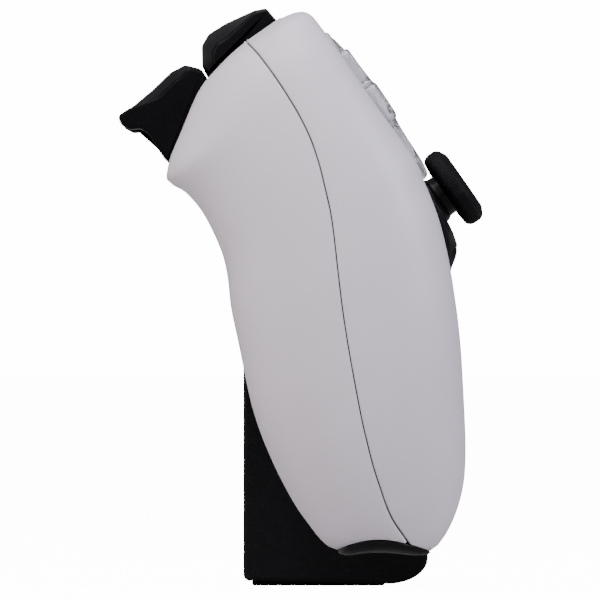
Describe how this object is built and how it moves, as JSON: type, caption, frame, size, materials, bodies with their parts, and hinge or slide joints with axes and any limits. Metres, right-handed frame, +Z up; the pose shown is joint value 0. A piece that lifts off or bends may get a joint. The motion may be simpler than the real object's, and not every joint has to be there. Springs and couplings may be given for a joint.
{
  "type": "game controller on desk stand",
  "caption": "Two-handed wireless game controller with thumb sticks, triggers, directional pad and touchpad, standing grips-down in a wedge-shaped desk stand.",
  "frame": {"origin": "centre of the stand's underside, on the desk", "axes": "+Z up, +X to the player's right, the controller's face looks towards -Y"},
  "size_m": [0.16, 0.0725, 0.1149],
  "materials": {
    "white_shell": "fine matt",
    "black_plastic": "satin",
    "stand_plastic": "matt",
    "clear_plastic": "clear, polished",
    "touch_white": "fine grain",
    "light_guide": "diffusing",
    "stick_rubber": "matt",
    "inner_plastic": "plain",
    "membrane_rubber": "plain",
    "board_green": "solder mask",
    "steel": "plain",
    "battery_wrap": "shrink film"
  },
  "bodies": {
    "stand": {"stand_body": "stand_plastic", "stand_base_plate": "stand_plastic", "stand_ballast": "steel", "foot_pad": "stick_rubber", "stand_saddle_pad": "stick_rubber"},
    "controller": {"back_cover": "white_shell", "back_screw_1": "steel", "back_screw_2": "steel", "back_screw_3": "steel", "back_screw_4": "steel", "battery": "battery_wrap", "centre_trim": "black_plastic", "dpad_membrane": "membrane_rubber", "face_membrane": "membrane_rubber", "front_cover_left": "white_shell", "front_cover_right": "white_shell", "headset_jack": "inner_plastic", "left_grip_cap": "black_plastic", "left_haptic_motor": "steel", "left_stick_base": "inner_plastic", "left_stick_ring": "black_plastic", "left_trigger_drive": "inner_plastic", "left_trigger_spring": "steel", "light_bar": "light_guide", "main_board": "board_green", "mid_frame": "inner_plastic", "right_grip_cap": "black_plastic", "right_haptic_motor": "steel", "right_stick_base": "inner_plastic", "right_stick_ring": "black_plastic", "right_trigger_drive": "inner_plastic", "right_trigger_spring": "steel", "speaker": "inner_plastic", "usb_port": "steel"},
    "left_yoke": {"left_stick_yoke": "steel"},
    "left_pivot": {"left_stick_pivot": "steel"},
    "left_stick": {"left_stick_stem": "black_plastic", "left_stick_cap": "stick_rubber"},
    "left_bumper": {"left_bumper": "black_plastic"},
    "left_trigger": {"left_trigger": "black_plastic"},
    "right_yoke": {"right_stick_yoke": "steel"},
    "right_pivot": {"right_stick_pivot": "steel"},
    "right_stick": {"right_stick_stem": "black_plastic", "right_stick_cap": "stick_rubber"},
    "right_bumper": {"right_bumper": "black_plastic"},
    "right_trigger": {"right_trigger": "black_plastic"},
    "button_north": {"button_north": "clear_plastic"},
    "button_east": {"button_east": "clear_plastic"},
    "button_south": {"button_south": "clear_plastic"},
    "button_west": {"button_west": "clear_plastic"},
    "left_menu_button": {"left_menu_button": "clear_plastic"},
    "right_menu_button": {"right_menu_button": "clear_plastic"},
    "home_button": {"home_button": "black_plastic"},
    "mute_button": {"mute_button": "black_plastic"},
    "dpad_rocker": {"dpad_pivot": "inner_plastic"},
    "dpad": {"dpad": "clear_plastic"},
    "touchpad": {"touchpad": "touch_white"}
  },
  "joints": [
    {"name": "controller_lift", "type": "slide", "parent": "stand", "child": "controller", "axis": [0, 0, 1], "range_m": [0, 0.06]},
    {"name": "left_stick_pitch", "type": "hinge", "parent": "controller", "child": "left_yoke", "pos_m": [-0.026, -0.0089, 0.06897], "axis": [1, 0, 0], "range_deg": [-12, 12], "stiffness_Nm_per_rad": 0.06},
    {"name": "left_stick_roll", "type": "hinge", "parent": "left_yoke", "child": "left_pivot", "pos_m": [-0.026, -0.0089, 0.06897], "axis": [0, 0.5736, 0.8192], "range_deg": [-12, 12], "stiffness_Nm_per_rad": 0.06},
    {"name": "left_stick_click", "type": "slide", "parent": "left_pivot", "child": "left_stick", "axis": [0, 0.8192, -0.5736], "range_m": [0, 0.00025], "stiffness_N_per_m": 2500, "springref_m": -0.0002},
    {"name": "left_bumper_press", "type": "hinge", "parent": "controller", "child": "left_bumper", "pos_m": [-0.037, 0.01573, 0.10239], "axis": [0, -0.8192, 0.5736], "range_deg": [0, 2.5], "stiffness_Nm_per_rad": 1.5, "springref_deg": -2.86},
    {"name": "left_trigger_pull", "type": "hinge", "parent": "controller", "child": "left_trigger", "pos_m": [-0.047, 0.02599, 0.09752], "axis": [-1, 0, 0], "range_deg": [0, 15], "stiffness_Nm_per_rad": 0.12, "springref_deg": -17.19},
    {"name": "right_stick_pitch", "type": "hinge", "parent": "controller", "child": "right_yoke", "pos_m": [0.026, -0.0089, 0.06897], "axis": [1, 0, 0], "range_deg": [-12, 12], "stiffness_Nm_per_rad": 0.06},
    {"name": "right_stick_roll", "type": "hinge", "parent": "right_yoke", "child": "right_pivot", "pos_m": [0.026, -0.0089, 0.06897], "axis": [0, 0.5736, 0.8192], "range_deg": [-12, 12], "stiffness_Nm_per_rad": 0.06},
    {"name": "right_stick_click", "type": "slide", "parent": "right_pivot", "child": "right_stick", "axis": [0, 0.8192, -0.5736], "range_m": [0, 0.00025], "stiffness_N_per_m": 2500, "springref_m": -0.0002},
    {"name": "right_bumper_press", "type": "hinge", "parent": "controller", "child": "right_bumper", "pos_m": [0.037, 0.01573, 0.10239], "axis": [0, 0.8192, -0.5736], "range_deg": [0, 2.5], "stiffness_Nm_per_rad": 1.5, "springref_deg": -2.86},
    {"name": "right_trigger_pull", "type": "hinge", "parent": "controller", "child": "right_trigger", "pos_m": [0.047, 0.02599, 0.09752], "axis": [-1, 0, 0], "range_deg": [0, 15], "stiffness_Nm_per_rad": 0.12, "springref_deg": -17.19},
    {"name": "button_north_press", "type": "slide", "parent": "controller", "child": "button_north", "axis": [0, 0.8192, -0.5736], "range_m": [0, 0.0012], "stiffness_N_per_m": 600, "springref_m": -0.0004},
    {"name": "button_east_press", "type": "slide", "parent": "controller", "child": "button_east", "axis": [0, 0.8192, -0.5736], "range_m": [0, 0.0012], "stiffness_N_per_m": 600, "springref_m": -0.0004},
    {"name": "button_south_press", "type": "slide", "parent": "controller", "child": "button_south", "axis": [0, 0.8192, -0.5736], "range_m": [0, 0.0012], "stiffness_N_per_m": 600, "springref_m": -0.0004},
    {"name": "button_west_press", "type": "slide", "parent": "controller", "child": "button_west", "axis": [0, 0.8192, -0.5736], "range_m": [0, 0.0012], "stiffness_N_per_m": 600, "springref_m": -0.0004},
    {"name": "left_menu_button_press", "type": "slide", "parent": "controller", "child": "left_menu_button", "axis": [0, 0.8192, -0.5736], "range_m": [0, 0.0006], "stiffness_N_per_m": 600, "springref_m": -0.0004},
    {"name": "right_menu_button_press", "type": "slide", "parent": "controller", "child": "right_menu_button", "axis": [0, 0.8192, -0.5736], "range_m": [0, 0.0006], "stiffness_N_per_m": 600, "springref_m": -0.0004},
    {"name": "home_button_press", "type": "slide", "parent": "controller", "child": "home_button", "axis": [0, 0.8192, -0.5736], "range_m": [0, 0.0005], "stiffness_N_per_m": 600, "springref_m": -0.0004},
    {"name": "mute_button_press", "type": "slide", "parent": "controller", "child": "mute_button", "axis": [0, 0.8192, -0.5736], "range_m": [0, 0.0004], "stiffness_N_per_m": 600, "springref_m": -0.0004},
    {"name": "dpad_pitch", "type": "hinge", "parent": "controller", "child": "dpad_rocker", "pos_m": [-0.052, -0.00381, 0.09227], "axis": [1, 0, 0], "range_deg": [-4, 4], "stiffness_Nm_per_rad": 0.3},
    {"name": "dpad_roll", "type": "hinge", "parent": "dpad_rocker", "child": "dpad", "pos_m": [-0.052, -0.00381, 0.09227], "axis": [0, 0.5736, 0.8192], "range_deg": [-4, 4], "stiffness_Nm_per_rad": 0.3},
    {"name": "touchpad_click", "type": "hinge", "parent": "controller", "child": "touchpad", "pos_m": [0, 0.00647, 0.11253], "axis": [1, 0, 0], "range_deg": [0, 0.9], "stiffness_Nm_per_rad": 3, "springref_deg": -1.15}
  ]
}
